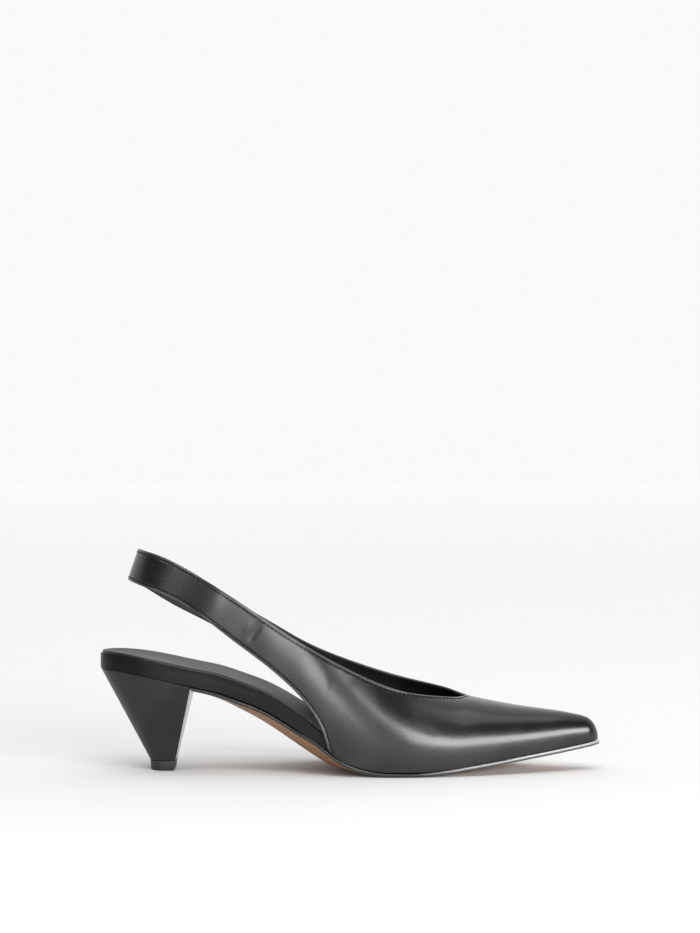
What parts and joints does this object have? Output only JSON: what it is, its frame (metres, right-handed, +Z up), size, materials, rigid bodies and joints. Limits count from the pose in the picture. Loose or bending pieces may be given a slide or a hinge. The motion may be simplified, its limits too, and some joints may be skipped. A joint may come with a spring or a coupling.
{
  "type": "slingback pump",
  "caption": "Left slingback pump with a pointed toe, low cut vamp, one-piece heel strap and a tapered mid-height heel.",
  "frame": {"origin": "on the floor, under the middle of the shoe's length", "axes": "+X towards the toe, +Y towards the outer side of the foot, +Z up"},
  "size_m": [0.26, 0.075, 0.1151],
  "materials": {
    "upper_leather": "smooth glossy black calf with stitched edges",
    "insole_leather": "semi-gloss near-black lining leather",
    "cover_leather": "semi-matt black leather wrap",
    "outsole_leather": "tan sole leather with a black painted edge",
    "heel_leather": "semi-matt black leather wrap",
    "tip_rubber": "matt black rubber"
  },
  "bodies": {
    "root": {"upper": "upper_leather", "insole": "insole_leather", "seat_cover": "cover_leather", "outsole": "outsole_leather", "heel": "heel_leather", "top_piece": "tip_rubber"}
  },
  "joints": []
}
